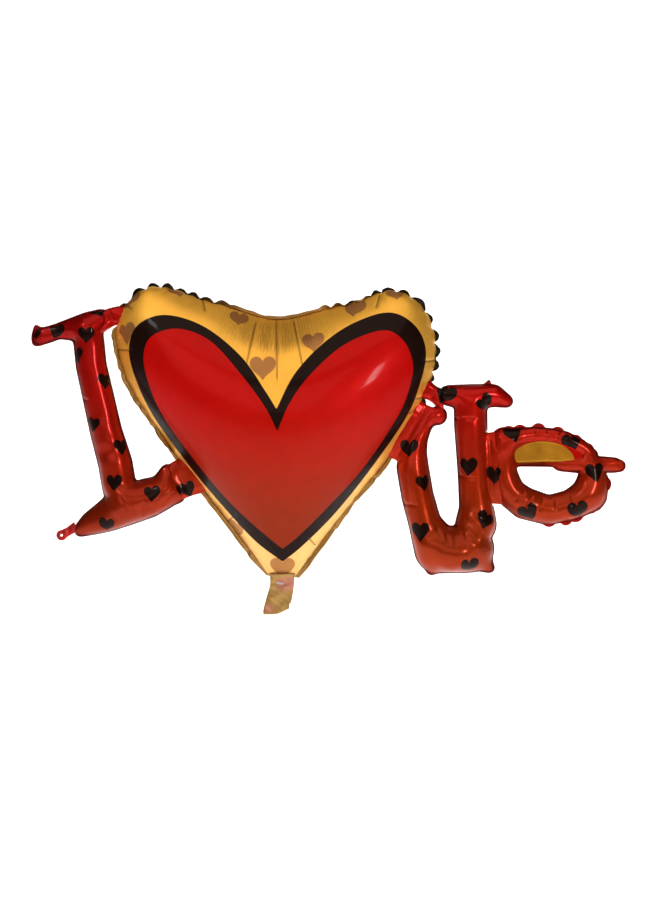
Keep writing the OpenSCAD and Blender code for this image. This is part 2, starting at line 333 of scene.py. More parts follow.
class Film:
    """Points with their place in the outline (home), in the flat cut (flat) and in space (place)."""

    def __init__(self, node_panel, node_band, step, smoothing=8, keep_below=None, soften=0):
        chamber = chamber_loops(node_panel)
        widest = max(np.ptp(l[:, 0]) for l in chamber)
        rims = [resampled(rounded(l, smoothing if np.ptp(l[:, 0]) == widest else HOLE_ROUNDING, keep_below),
                          step) for l in chamber]
        borders = []
        for loop in cap_loops(node_band):
            passes = soften if np.ptp(loop[:, 0]) > 0.8 * widest else HOLE_SOFTEN
            borders.append(resampled(rounded(resampled(loop, 1.0), passes) if passes else loop, 0.8 * step))
        home, tris, seal, own_rim = triangulated(rims, borders, step)
        self.rims = rims
        self.rim = np.zeros(len(home), bool)
        self.rim[[v for e in own_rim for v in e]] = True
        in_chamber = np.zeros(len(home), bool)
        in_chamber[tris[~seal]] = True
        inner = np.flatnonzero(in_chamber & ~self.rim)
        twin = np.arange(len(home))
        twin[inner] = len(home) + np.arange(len(inner))
        self.side = np.concatenate([np.where(in_chamber & ~self.rim, -1, 0), np.ones(len(inner), int)])
        self.rim = np.concatenate([self.rim, np.zeros(len(inner), bool)])
        self.home = np.concatenate([home, home[inner]])
        self.tris = np.concatenate([tris[~seal], twin[tris[~seal]][:, ::-1], tris[seal]])
        self.kinds = np.repeat([FRONT, BACK, SEAL], [(~seal).sum(), (~seal).sum(), seal.sum()])
        self.front_of = np.concatenate([np.arange(len(home)), inner])
        self.flat = self.home.copy()
        self.find_pairs()

    def find_pairs(self):
        """The pairs that hold the film's lengths and its folds, and the corners that air presses."""
        self.pairs, _ = sides_of(self.tris)
        self.folds = across(self.tris, self.kinds)
        self.pair_groups = [self.pairs[g] for g in groups_of(self.pairs, len(self.home))]
        self.fold_groups = [self.folds[g] for g in groups_of(self.folds, len(self.home))]
        self.airtight = self.tris[self.kinds != SEAL]
        corner = self.airtight.ravel()
        self.order = np.argsort(corner, kind="stable")
        self.pressed, self.starts = np.unique(corner[self.order], return_index=True)

    def way_across(self):
        """The way across the tube at each point, as a 2 x 2 spread that is evened out over the film."""
        distance, near = to_lines(self.home, self.rims)
        way = (self.home - near) / np.maximum(distance, 1e-6)[:, None]
        weight = ((self.side != 0) & (distance > 0.3)).astype(float)
        spread = way[:, :, None] * way[:, None, :] * weight[:, None, None]
        a, b = self.pairs.T
        for _ in range(8):
            total, count = 2 * spread, 2 * weight
            for here, other in ((a, b), (b, a)):
                count = count + np.bincount(here, weight[other], len(weight))
                for i, j in ((0, 0), (0, 1), (1, 0), (1, 1)):
                    total[:, i, j] += np.bincount(here, spread[other, i, j], len(weight))
            spread = total / np.maximum(count, 1e-9)[:, None, None]
            weight = (count > 0).astype(float)
        return spread

    def cut_flat(self, across_film, along_film):
        """The flat cut, wider across each tube than the outline, settled until it lies in one plane."""
        seal_only = np.ones(len(self.home), bool)
        seal_only[self.airtight] = False
        along_film = np.broadcast_to(along_film, len(self.home))[:, None, None]
        grow = along_film ** 2 * np.eye(2) + (across_film ** 2 - along_film ** 2) * self.way_across()
        grow[seal_only] = np.eye(2)
        flat = self.home.copy()
        rounds = []
        for g in self.pair_groups:
            g = g[(self.side[g[:, 0]] <= 0) & (self.side[g[:, 1]] <= 0)]
            step = self.home[g[:, 1]] - self.home[g[:, 0]]
            want = np.sqrt(np.einsum("ni,nij,nj->n", step, (grow[g[:, 0]] + grow[g[:, 1]]) / 2, step))
            rounds.append((g[:, 0], g[:, 1], want, np.where(seal_only[g].any(1), 0.1, 0.8)))
        for _ in range(300):
            for one, other, want, firm in rounds:
                pull_together(flat, one, other, want, firm, firm)
        self.flat = flat[self.front_of]

    def refine(self):
        """Splits each triangle into four."""
        pairs, number = sides_of(self.tris)
        n = len(self.home)
        on = np.zeros((len(pairs), 3), bool)
        for kind in (FRONT, BACK, SEAL):
            on[number[self.kinds == kind].ravel(), kind] = True
        welded = on[:, FRONT] & on[:, BACK]
        for name in ("home", "flat", "place"):
            value = getattr(self, name)
            setattr(self, name, np.concatenate([value, value[pairs].mean(1)]))
        self.rim = np.concatenate([self.rim, welded])
        self.side = np.concatenate([self.side, np.where(welded, 0, on[:, BACK].astype(int) - on[:, FRONT])])
        a, b, c = self.tris.T
        ab, bc, ca = (number + n).T
        self.tris = np.concatenate([np.stack(t, 1) for t in
                                    ((a, ab, ca), (ab, b, bc), (ca, bc, c), (ab, bc, ca))])
        self.kinds = np.tile(self.kinds, 4)
        self.find_pairs()

    def rim_way_out(self):
        """The way out of the chamber at each point of the rim, as (x, z)."""
        a, b = self.pairs.T
        way = np.zeros_like(self.home)
        for rim, other in ((a, b), (b, a)):
            inward = self.rim[rim] & (self.side[other] != 0)
            way += summed(rim[inward], (self.home[rim] - self.home[other])[inward], len(way))
        return way / np.maximum(np.linalg.norm(way, axis=1), 1e-9)[:, None]

    def aim(self, gathers, grown, smooth_below):
        """Where the rim is held: in the outline, drawn in at its gathers, and flat beside a web."""
        self.target = self.home + grown * self.rim_way_out()
        self.hold = np.zeros(len(self.home))
        self.smooth = self.home[:, 1] < smooth_below
        rim = np.flatnonzero(self.rim)
        if self.web_loops:
            spots = self.home[rim]
            close = inside(spots, self.web_loops) | (to_lines(spots, self.web_loops)[0] < WEB_HOLDS)
            self.hold[rim[close]] = WEB_FLAT
        if gathers:
            drawn, outward = gathers.at(self.home[rim])
            self.target[rim] -= (gathers.depth * drawn * (self.hold[rim] == 0))[:, None] * outward

    def lay_edge(self, gathers, depth):
        """Draws the free edge of the seal in at the gathers, and lays the seal flat beside the webs."""
        edge = np.ones(len(self.home), bool)
        edge[self.airtight] = False
        if gathers:
            drawn, outward = gathers.at(self.home)
            self.place[:, [0, 2]] -= (depth * drawn * edge)[:, None] * outward
        if self.web_loops:
            close = (edge | self.rim) & (to_lines(self.home, self.web_loops)[0] < WEB_CALMS)
            self.place[close, 1] *= FLAT_BY_WEB

    def settle_rim(self):
        """Brings the rim and the seal all the way to their outlines."""
        edge = self.rim.copy()
        edge[self.tris[self.kinds == SEAL]] = True
        outline = np.where(self.rim[:, None], self.target, self.home)
        self.place[edge, 0] = outline[edge, 0]
        self.place[edge, 2] = outline[edge, 1]
        self.place[edge, 1] *= FLAT_WHEN_SETTLED

    def air(self):
        """The way that air pushes each pressed point, by the area of film round it."""
        a, b, c = (self.place[self.airtight[:, i]] for i in range(3))
        area = np.repeat(np.cross(b - a, c - a), 3, axis=0)[self.order]
        return np.add.reduceat(area, self.starts, axis=0)

    def inflate(self, steps, force):
        """Blows the film up. It can't stretch, but it buckles."""
        lengths, spans = ([np.linalg.norm(self.flat[g[:, 0]] - self.flat[g[:, 1]], axis=1) for g in groups]
                          for groups in (self.pair_groups, self.fold_groups))
        area = np.repeat(np.abs(turn_of(self.flat, self.airtight)), 3)[self.order]
        own_area = np.add.reduceat(area, self.starts)[:, None]
        before = self.place.copy()
        rim = np.flatnonzero(self.rim)
        firm = np.where(self.smooth[rim], SMOOTH_FIRM, RIM_FIRM)
        held = np.maximum(self.hold[rim], np.where(self.smooth[rim], SMOOTH_FLAT, RIM_FLAT))
        for step in range(steps):
            if step % 2 == 0:
                push = force * self.air() / own_area
            drift = (self.place - before) * KEEP
            before = self.place.copy()
            self.place += drift
            self.place[self.pressed] += push
            for g, length in zip(self.pair_groups, lengths):
                pull_together(self.place, g[:, 0], g[:, 1], length, 1.0, CRUSH)
            for g, span in zip(self.fold_groups, spans):
                pull_together(self.place, g[:, 0], g[:, 1], span, 0.0, CREASE)
            self.place[rim, 0] += firm * (self.target[rim, 0] - self.place[rim, 0])
            self.place[rim, 2] += firm * (self.target[rim, 1] - self.place[rim, 2])
            self.place[rim, 1] -= held * self.place[rim, 1]


# ---------- the balloon ----------

rng = np.random.default_rng(7)


def blown(panel, band, step, across_film, along_film, plan, webs=(), smoothing=8, keep_below=None,
          gathers=None, grown=1.3, smooth_below=-100, soften=0):
    """Cuts a chamber's film, welds its rim and blows it up by a plan of rounds, each (steps, force).

    Each round after the first has finer triangles. The step is the first triangles' size, in mm.
    """
    film = Film(panel, band, step, smoothing, keep_below, soften)
    film.cut_flat(across_film, along_film(film.home))
    film.place = np.stack([film.home[:, 0], film.side * 0.5 * to_lines(film.home, film.rims)[0],
                           film.home[:, 1]], 1)
    film.place[:, 1] += rng.normal(0, 0.15, len(film.place))
    film.web_loops = [l for node in webs for l in cap_loops(node)]
    for level, (steps, force) in enumerate(plan):
        if level:
            film.refine()
        film.aim(gathers, grown, smooth_below)
        film.inflate(steps, force)
    return film


def calmed(film, passes, share):
    """Evens out the small buckles of the film, by the share given for each point. The rim stays."""
    a, b = film.pairs.T
    count = np.bincount(a, minlength=len(film.place)) + np.bincount(b, minlength=len(film.place))
    share = (share * (film.side != 0) / 2)[:, None]
    for _ in range(passes):
        total = summed(a, film.place[b], len(count)) + summed(b, film.place[a], len(count))
        film.place += share * (total / np.maximum(count, 1)[:, None] - film.place)


def held_in(film, free, slack):
    """Keeps the film from hanging out past its weld. Up to free it may, and then by slack at most."""
    seen = film.place[:, [0, 2]]
    distance, nearest = to_lines(seen, film.rims)
    past = np.flatnonzero((film.side != 0) & ~inside(seen, film.rims) & (distance > free))
    kept = free + slack * (1 - np.exp(-(distance[past] - free) / slack))
    share = (kept / distance[past])[:, None]
    film.place[past[:, None], [0, 2]] = nearest[past] + (seen - nearest)[past] * share


def normals(film):
    """The way out of the film at each point, from its front and back layers."""
    a, b, c = (film.place[film.airtight[:, i]] for i in range(3))
    face = np.cross(b - a, c - a)
    way = sum(summed(film.airtight[:, i], face, len(film.place)) for i in range(3))
    return way / np.maximum(np.linalg.norm(way, axis=1), 1e-9)[:, None]


def laid_out(film):
    """Where the print lies at each point of the film: as the front is seen from the viewing place."""
    eye = CAMERA_PLACE / MM
    share = eye[1] / (eye[1] + np.abs(film.place[:, 1]))
    return eye[[0, 2]] + share[:, None] * (film.place[:, [0, 2]] - eye[[0, 2]])


def crease(film, start, end, depth=0.9, width=1.9):
    """Presses a narrow fold into both layers, along a line given as it is seen from the front."""
    off, near = off_line(laid_out(film), start, end)
    near = near * (film.side != 0)
    film.place -= normals(film) * (depth * near * np.exp(-(off / width) ** 2))[:, None]


def off_line(p, start, end):
    """Each point's distance to a straight line, and a share that fades out past the line's ends."""
    start, way = np.array(start, float), np.subtract(end, start).astype(float)
    t = (p - start) @ way / (way @ way)
    off = np.abs((p - start)[:, 0] * way[1] - (p - start)[:, 1] * way[0]) / np.linalg.norm(way)
    return off, np.clip(np.minimum(t, 1 - t) * 6 + 1, 0, 1)


def line_distance(p, lines, width=0.9):
    """The distance to the nearest of the lines, below zero on a line. The lines taper to their ends."""
    best = np.full(len(p), 20.0)
    for start, end in lines:
        off, near = off_line(p, start, end)
        best = np.minimum(best, np.where(near > 0, off - width * near, 20.0))
    return best


def edge_distance(p, curve):
    """The distance to a closed curve, below zero inside it."""
    d = to_lines(p, [curve])[0]
    return np.where(inside(p, [curve]), -d, d)


def smooth_path(points, steps=10):
    """An open smooth curve through the points, without its last point."""
    p = np.array([points[0]] + list(points) + [points[-1]], float)
    t = (np.arange(steps) / steps)[:, None]
    spans = []
    for a, b, c, d in zip(p, p[1:], p[2:], p[3:]):
        spans.append(0.5 * (2 * b + (c - a) * t + (2 * a - 5 * b + 4 * c - d) * t ** 2
                            + (3 * b - a - 3 * c + d) * t ** 3))
    return np.vstack(spans)


HEART_TALL = 1.15           # the small hearts are a little taller than their curve


def heart_curve(width, tilt):
    """A small printed heart round its own middle, turned by tilt degrees."""
    t = np.linspace(0, 2 * math.pi, 48, endpoint=False)
    x = 16 * np.sin(t) ** 3
    z = HEART_TALL * (13 * np.cos(t) - 5 * np.cos(2 * t) - 2 * np.cos(3 * t) - np.cos(4 * t) + 2.5)
    c, s = math.cos(math.radians(tilt)), math.sin(math.radians(tilt))
    return np.stack([x * c - z * s, x * s + z * c], 1) * width / 32


def small_hearts(film, hearts):
    """The distance to the nearest small heart. Each is (x, z, width, tilt), as seen from the front."""
    best = np.full(len(film.place), 40.0)
    facing, everywhere = normals(film)[:, 1], laid_out(film)
    for layer in (-1, 1):
        on_layer = np.flatnonzero((film.side == layer) & (facing * layer > 0.05))
        seen = everywhere[on_layer]
        for x, z, width, tilt in hearts:
            offset = seen - (x, z)
            flat_way = np.linalg.norm(offset, axis=1)
            centre = film.place[on_layer[flat_way.argmin()]]
            true_way = np.linalg.norm(film.place[on_layer] - centre, axis=1)
            offset *= (true_way / np.maximum(flat_way, 0.5))[:, None]
            close = true_way < 1.2 * width
            curve = heart_curve(width, tilt)
            spots = on_layer[close]
            best[spots] = np.minimum(best[spots], edge_distance(offset[close], curve))
    return best


def added(name, data):
    """A new object in the scene."""
    made = bpy.data.objects.new(name, data)
    bpy.context.scene.collection.objects.link(made)
    return made


def piece(name, place, tris, **values):
    """A mesh piece from points in millimetres, with a named number at each point."""
    used, tris = np.unique(tris, return_inverse=True)
    tris = tris.reshape(-1, 3)
    mesh = bpy.data.meshes.new(name)
    mesh.from_pydata((place[used] * MM).tolist(), [], tris.tolist())
    for key, value in values.items():
        mesh.attributes.new(key, "FLOAT", "POINT").data.foreach_set("value", value[used].astype(np.float32))
    mesh.polygons.foreach_set("use_smooth", [True] * len(mesh.polygons))
    mesh.update()
    return added(name, mesh)


SEAL_DEPTH = 0.3            # the seal's two faces, far thicker than real film so that both show, mm


def thickened(made, thickness):
    """Gives a sheet the two faces of a real film."""
    solid = made.modifiers.new("film", "SOLIDIFY")
    solid.thickness = thickness * MM
    solid.offset = 0


def film_pieces(film, name, material, seal_material, **values):
    """The blown chamber and its welded seal, as two pieces."""
    chamber = piece(name + "_film", film.place, film.airtight, **values)
    seal = piece(name + "_seal", film.place, film.tris[film.kinds == SEAL], **values)
    chamber.data.materials.append(material)
    seal.data.materials.append(seal_material)
    thickened(seal, SEAL_DEPTH)
    return chamber, seal


# ---------- sheets: the webs at the folds, the eye of the e, the neck and tail, the hang tab ----------


def grid_tris(rows, columns):
    """Triangles over a grid of points, row after row."""
    i, j = np.meshgrid(np.arange(rows - 1), np.arange(columns - 1), indexing="ij")
    a = (i * columns + j).ravel()
    b, c, d = a + 1, a + columns + 1, a + columns
    return np.concatenate([np.stack([a, b, c], 1), np.stack([a, c, d], 1)])


def pillow(name, flat, half_depth, wave, material, **values):
    """A closed thin piece from a grid of (x, z) points: a front and a back film, joined at their edges."""
    rows, columns = half_depth.shape
    tris = grid_tris(rows, columns)
    spots = np.arange(rows * columns).reshape(rows, columns)
    edge = np.ones((rows, columns), bool)
    edge[1:-1, 1:-1] = False
    back = np.where(edge, spots, spots + rows * columns).ravel()
    layers = [np.stack([flat[..., 0], wave + sign * np.where(edge, 0, half_depth), flat[..., 1]], -1)
              for sign in (-1, 1)]
    place = np.concatenate([layer.reshape(-1, 3) for layer in layers])
    turn = turn_of(flat.reshape(-1, 2), tris).sum()
    if turn < 0:
        tris = tris[:, ::-1]
    all_tris = np.concatenate([tris, back[tris][:, ::-1]])
    values = {key: np.broadcast_to(value, len(place)).astype(float) for key, value in values.items()}
    made = piece(name, place, all_tris, **values)
    made.data.materials.append(material)
    return made


JOINTS = {joint["name"]: joint for joint in frame["joints"]}


def fold_line(joint):
    """A fold's start, the way along it and the way across it to the body that swings, as (x, z)."""
    at, way = (np.array(JOINTS[joint][key])[[0, 2]] for key in ("pos_m", "axis"))
    return at / MM, way, np.array([-way[1], way[0]])


SEARCH = 24                 # how far from a fold the chamber beside it is looked for, mm
TUCK_HELD, TUCK_SWUNG = 5.0, 6.0        # how far a web goes in under the chambers' films
LONG_WEB = 0.16             # a web may reach this share of its length past its end
WEB_ROWS = 29
WEB_BULGE = 7.5             # half the depth of a full web, mm


def web_end(fold, spots, way, loops, beyond, tuck):
    """Where the rows of a web end inside a chamber: how far along the fold, and how far from it."""
    at, along, _ = fold
    tried = np.linspace(spots[0] - beyond, spots[-1] + beyond, 80)
    reach = np.full(len(tried), np.nan)
    for distance in np.arange(0, SEARCH, 0.5):
        now = np.isnan(reach) & inside(at + tried[:, None] * along + distance * way, loops)
        reach[now] = distance
    found = ~np.isnan(reach)
    ends = tried[found][[0, -1]] + (0.8, -0.8)
    along_fold = np.interp(spots, spots[[0, -1]], ends)
    even = np.convolve(np.pad(reach[found], 4, mode="edge"), np.ones(9) / 9, "valid")
    return along_fold, np.interp(along_fold, tried[found], np.maximum(even, reach[found])) + tuck


def web_grid(fold, spots, held_loops, swung_loops, beyond):
    """A web's grid of (x, z) points, and how far each is over the fold. It widens into the chambers."""
    at, along, over = fold
    held_along, held = web_end(fold, spots, -over, held_loops, beyond, TUCK_HELD)
    swung_along, swung = web_end(fold, spots, over, swung_loops, beyond, TUCK_SWUNG)
    t = np.linspace(0, 1, WEB_ROWS)[:, None]
    n_grid = -held + t * (held + swung)
    flare_held = np.clip(-n_grid / held, 0, 1) ** 1.4
    flare_swung = np.clip(n_grid / swung, 0, 1) ** 1.4
    s_grid = spots + flare_held * (held_along - spots) + flare_swung * (swung_along - spots)
    return at + s_grid[..., None] * along + n_grid[..., None] * over, n_grid


def web_depth(spots, n_grid, length):
    """Half a web's depth: a crowned tube that dips at the fold and has soft pleats across it."""
    q = np.linspace(-1, 1, len(spots))
    crown = (1 - np.abs(q) ** 3.5) * min(WEB_BULGE, 0.42 * length)
    from_fold = np.clip(n_grid / 9, -1, 1)
    lift = np.where(from_fold > 0, 0.6 + 0.5 * from_fold, 0.6 - 0.15 * from_fold)
    dip = 1 - 0.2 * np.exp(-(n_grid / 2.2) ** 2)
    pleats = np.abs(np.sin(math.pi * (spots / 11.0 + 0.3 * np.sin(spots / 7.0) + 0.02 * n_grid)))
    t = np.linspace(0, 1, WEB_ROWS)[:, None]
    ends = np.clip((1 - np.abs(2 * t - 1)) * 6, 0, 1)
    return (0.5 + crown * lift * dip + 0.3 * pleats * (0.4 + 0.6 * np.abs(from_fold))) * ends


def fold_web(name, joint, node, hearts, material, beyond, spare):
    """The films between two chambers, from inside the held one, over the fold, into the one that swings.

    At its ends a web widens by up to beyond, and at the fold it reaches spare past the drawn one.
    """
    fold = at, along, over = fold_line(joint)
    parent, child = JOINTS[joint]["parent"], JOINTS[joint]["child"]
    chambers = [chamber_loops(body + "_front_panel") for body in (parent, child)]
    made = []
    for loop in cap_loops(node):
        s, n = (loop - at) @ along, (loop - at) @ over
        if np.abs(n).min() > 3:
            continue
        low, high = s.min() - spare[0], s.max() + min(spare[1], LONG_WEB * np.ptp(s))
        spots = np.linspace(low, high, max(12, int((high - low) / 1.1)))
        flat, n_grid = web_grid(fold, spots, *chambers, beyond)
        depth = web_depth(spots, n_grid, np.ptp(s))
        hearts_at = np.min([edge_distance(flat.reshape(-1, 2) - (x, z), heart_curve(width, tilt))
                            for x, z, width, tilt in hearts], axis=0)
        web = pillow(f"{name}_{len(made) + 1}", flat, depth, np.zeros(n_grid.shape), material,
                     small_hearts=np.tile(hearts_at, 2), creases=20.0, beside_weld=20.0)
        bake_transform(web)
        made.append(web)
    return made


def between(left, right, heights, columns):
    """A grid between a left and a right edge, each a list of (x, z) from the top down."""
    t = np.linspace(0, 1, columns)[None, :, None]
    sides = []
    for edge in (left, right):
        edge = np.array(edge, float)[::-1]
        sides.append(np.stack([np.interp(heights, edge[:, 1], edge[:, 0]), heights], 1)[:, None])
    return sides[0] * (1 - t) + sides[1] * t


# ---------- materials ----------


class Look:
    """A procedural material, with short names for its nodes."""

    def __init__(self, name):
        self.material = bpy.data.materials.new(name)
        self.material.use_nodes = True
        self.tree = self.material.node_tree
        self.shader = self.tree.nodes["Principled BSDF"]
        self.normal = None

    def node(self, kind, **settings):
        made = self.tree.nodes.new("ShaderNode" + kind)
        for key, value in settings.items():
            setattr(made, key, value)
        return made

    def link(self, a, b):
        self.tree.links.new(a, b)

    def set(self, **values):
        for key, value in values.items():
            self.shader.inputs[key.replace("_", " ")].default_value = value

    def noise(self, scale, detail=3.0):
        where = self.node("TexCoord")
        made = self.node("TexNoise")
        made.inputs["Scale"].default_value = scale
        made.inputs["Detail"].default_value = detail
        self.link(where.outputs["Object"], made.inputs["Vector"])
        return made.outputs["Fac"]

    def attribute(self, name):
        return self.node("Attribute", attribute_name=name).outputs["Fac"]

    def feed(self, value, socket):
        """Gives a socket a number or a colour, or links another node's output to it."""
        if isinstance(value, (float, tuple)):
            socket.default_value = value
        else:
            self.link(value, socket)

    def math(self, operation, a, b=0.0):
        made = self.node("Math", operation=operation)
        self.feed(a, made.inputs[0])
        self.feed(b, made.inputs[1])
        return made.outputs[0]

    def ramp(self, value, start, end, low=0.0, high=1.0, kind="SMOOTHSTEP"):
        """From low to high as the value goes from start to end."""
        made = self.node("MapRange", interpolation_type=kind)
        for socket, number in (("From Min", start), ("From Max", end), ("To Min", low), ("To Max", high)):
            made.inputs[socket].default_value = number
        self.link(value, made.inputs["Value"])
        return made.outputs["Result"]

    def mask(self, attribute, soft=0.35):
        """One where the attribute is below zero, and zero where it is above."""
        return self.ramp(self.attribute(attribute), soft, -soft)

    def printed(self, under, over, attribute, soft=0.35, share=1.0):
        """The colour under, covered by the colour over where the attribute is below zero."""
        return self.blended(under, over, self.math("MULTIPLY", self.mask(attribute, soft), share))

    def blended(self, under, over, share):
        """From the colour under to the colour over, by the share."""
        mix = self.node("Mix", data_type="RGBA")
        self.link(share, mix.inputs["Factor"])
        for colour, socket in ((under, mix.inputs[6]), (over, mix.inputs[7])):
            self.feed((*colour, 1) if isinstance(colour, tuple) else colour, socket)
        return mix.outputs[2]

    def along(self, axis, start, end):
        """From zero to one between two places along an axis, in metres."""
        split = self.node("SeparateXYZ")
        self.link(self.node("TexCoord").outputs["Object"], split.inputs[0])
        return self.ramp(split.outputs[axis], start, end)

    def fade_out(self, start, end):
        """Lets the surface end without an edge, between two distances from the middle."""
        far = self.node("VectorMath", operation="LENGTH")
        self.link(self.node("TexCoord").outputs["Object"], far.inputs[0])
        mix = self.node("MixShader")
        self.link(self.ramp(far.outputs["Value"], start, end), mix.inputs["Fac"])
        self.link(self.shader.outputs[0], mix.inputs[1])
        self.link(self.node("BsdfTransparent").outputs[0], mix.inputs[2])
        self.link(mix.outputs[0], self.tree.nodes["Material Output"].inputs["Surface"])

    def either(self, attribute, outside, within, socket):
        """Sets a number of the shader by whether the attribute is below zero."""
        share = self.ramp(self.mask(attribute), 0.0, 1.0, outside, within, "LINEAR")
        self.link(share, self.shader.inputs[socket])

    def varied(self, colour, scale=18.0, least=0.86, most=1.1):
        """The colour, a little darker and lighter from place to place."""
        share = self.ramp(self.noise(scale), 0.3, 0.7, least, most, "LINEAR")
        scaled = self.node("VectorMath", operation="SCALE")
        self.feed(colour, scaled.inputs[0])
        self.link(share, scaled.inputs["Scale"])
        return scaled.outputs["Vector"]

    def bump(self, height, distance):
        made = self.node("Bump")
        made.inputs["Distance"].default_value = distance
        self.link(height, made.inputs["Height"])
        if self.normal:
            self.link(self.normal, made.inputs["Normal"])
        self.normal = made.outputs["Normal"]
        self.link(self.normal, self.shader.inputs["Normal"])

    def rippled(self, scale, height, fine_scale=260.0, fine_height=0.00004):
        """Soft ripples of the film with a fine grain over them."""
        self.bump(self.noise(scale, 2.0), height)
        self.bump(self.noise(fine_scale, 2.0), fine_height)

    def base(self, colour):
        self.link(colour, self.shader.inputs["Base Color"])
        return self.material


GOLD = (0.92, 0.47, 0.064)
# The next colour is a painted floor reflection: paler gold for the heart's lower part.
GOLD_LOW_PAINTED_LIGHT = (0.88, 0.50, 0.17)
TAN = (0.42, 0.18, 0.055)
DARK = (0.009, 0.002, 0.001)
RED = (0.46, 0.0015, 0.0007)
# The next colour is painted shade and painted floor reflection: a darker, browner red for the heart's lower
# part.
RED_LOW_PAINTED_SHADE = (0.24, 0.020, 0.002)
LETTER_RED = (0.40, 0.003, 0.002)
# The next colour is painted shade and painted floor reflection: a darker, more orange red for the letters'
# lower parts.
LETTER_LOW_PAINTED_SHADE = (0.28, 0.024, 0.002)
# The next colour is painted shade: the dark of the creases in the gold.
GOLD_PAINTED_CREASE_SHADE = (0.30, 0.13, 0.03)
# The next colour is painted shade: the dark of the creases in the red, and the dimmer light on the L.
RED_PAINTED_SHADE = (0.16, 0.004, 0.003)
# The next colour is painted shade: the dark edge of the letters beside their weld.
RED_PAINTED_EDGE_SHADE = (0.030, 0.001, 0.001)


def foil_look(name, roughness, metallic=0.75, coat=0.1):
    look = Look(name)
    look.set(Metallic=metallic, Roughness=roughness, Coat_Weight=coat, Coat_Roughness=0.09, Coat_IOR=1.45,
             Specular_IOR_Level=0.06)
    return look


def heart_foil():
    look = foil_look("printed_gold_foil", roughness=0.42)
    # Painted floor reflection: the gold turns paler towards the bottom.
    gold = look.blended(GOLD_LOW_PAINTED_LIGHT, GOLD, look.along("Z", 0.02, 0.22))
    gold = look.printed(gold, TAN, "small_hearts", 0.5)
    # Painted shade: the gold is darker along the creases.
    gold = look.printed(look.varied(gold), GOLD_PAINTED_CREASE_SHADE, "creases", 0.5, 0.75)
    banded = look.printed(gold, DARK, "dark_heart")
    look.either("dark_heart", 0.62, 0.2, "Metallic")
    look.rippled(30.0, 0.0005)
    pleats = look.math("SINE", look.attribute("pleat_phase"))
    look.bump(look.math("MULTIPLY", pleats, look.attribute("pleat_depth")), 0.0009)
    # Painted shade and painted floor reflection: the red is darker and browner towards the bottom.
    red = look.blended(RED_LOW_PAINTED_SHADE, RED, look.along("Z", 0.05, 0.24))
    return look.base(look.printed(banded, look.varied(red, 60.0, 0.95, 1.04), "red_heart"))


def letter_foil():
    look = foil_look("printed_red_foil", roughness=0.3, metallic=0.5, coat=0.13)
    look.rippled(55.0, 0.0006)
    # Painted shade and painted floor reflection: the letters' red is darker and more orange towards the
    # bottom.
    red = look.blended(LETTER_LOW_PAINTED_SHADE, LETTER_RED, look.along("Z", 0.04, 0.26))
    # Painted shade: the red grows darker towards the L on the left.
    red = look.blended(RED_PAINTED_SHADE, red, look.along("X", -0.62, -0.02))
    # Painted shade: the red is darker along the creases.
    red = look.printed(look.varied(red), RED_PAINTED_SHADE, "creases", 0.5, 0.7)
    red = look.printed(red, DARK, "small_hearts")
    # Painted shade: the red turns almost black beside the weld.
    return look.base(look.printed(red, RED_PAINTED_EDGE_SHADE, "beside_weld", 1.6, 0.9))


def plain_foil(name, colour, roughness=0.3, ripple=0.0005, over=None, attribute=None, soft=14.0):
    look = foil_look(name, roughness)
    look.rippled(70.0, ripple)
    if over:
        colour = look.printed(colour, over, attribute, soft)
    return look.base(look.varied(colour, 40.0))


def valve_film():
    look = Look("clear_valve_film")
    look.set(Roughness=0.25, Transmission_Weight=0.6, IOR=1.45)
    look.rippled(90.0, 0.0003)
    return look.base(look.varied((0.85, 0.82, 0.8), 60.0, 0.93, 1.03))


# ---------- the heart ----------

# The two outlines of the heart's print, in mm: down its right side and up its left.
DARK_RIGHT = [(-8, 211), (14, 254), (48, 291), (88, 318), (133, 331), (165, 314), (178, 282), (170, 240),
              (152, 198), (108, 134), (64, 79), (23, 38), (-1, 19)]
DARK_LEFT = [(-1, 19), (-34, 44), (-72, 85), (-115, 137), (-160, 200), (-182, 246), (-191, 285),
             (-180, 315), (-146, 328), (-98, 314), (-52, 277), (-22, 234), (-8, 211)]
RED_RIGHT = [(-7, 183), (8, 218), (34, 254), (76, 291), (124, 309), (150, 296), (162, 266), (156, 232),
             (142, 200), (101, 138), (57, 89), (20, 52), (-1, 35)]
RED_LEFT = [(-1, 35), (-31, 60), (-67, 94), (-107, 142), (-148, 200), (-166, 240), (-173, 277),
            (-162, 302), (-129, 311), (-90, 296), (-54, 257), (-23, 215), (-7, 183)]
# The small hearts are (x, z, width, tilt in degrees), and a crease runs from one (x, z) to another.
GOLD_HEARTS = [(-129, 357, 26, 12), (-190, 347, 26, -20), (-194, 304, 28, 5), (-54, 322, 26, -10),
               (-25, 261, 32, 0), (38, 294, 30, 5), (88, 335, 30, -5), (140, 354, 26, 10),
               (-57, 60, 26, 8), (-1, 10, 32, 0)]
HEART_CREASES = [((-8, 318), (-7, 252)), ((14, 318), (24, 268)), ((-34, 316), (-44, 272)),
                 ((-206, 285), (-190, 284)), ((-207, 352), (-188, 336)), ((194, 272), (176, 270)),
                 ((182, 226), (166, 224)), ((172, 216), (158, 206)), ((-100, 352), (-96, 334)),
                 ((120, 352), (116, 338)), ((-70, 70), (-60, 78)), ((40, 40), (33, 48))]


def heart_along(home):
    """The spare length along the heart's rim: most of it round the lobes, little down its sides."""
    return 1.02 + 0.08 * np.clip((home[:, 1] - 160) / 60, 0, 1)


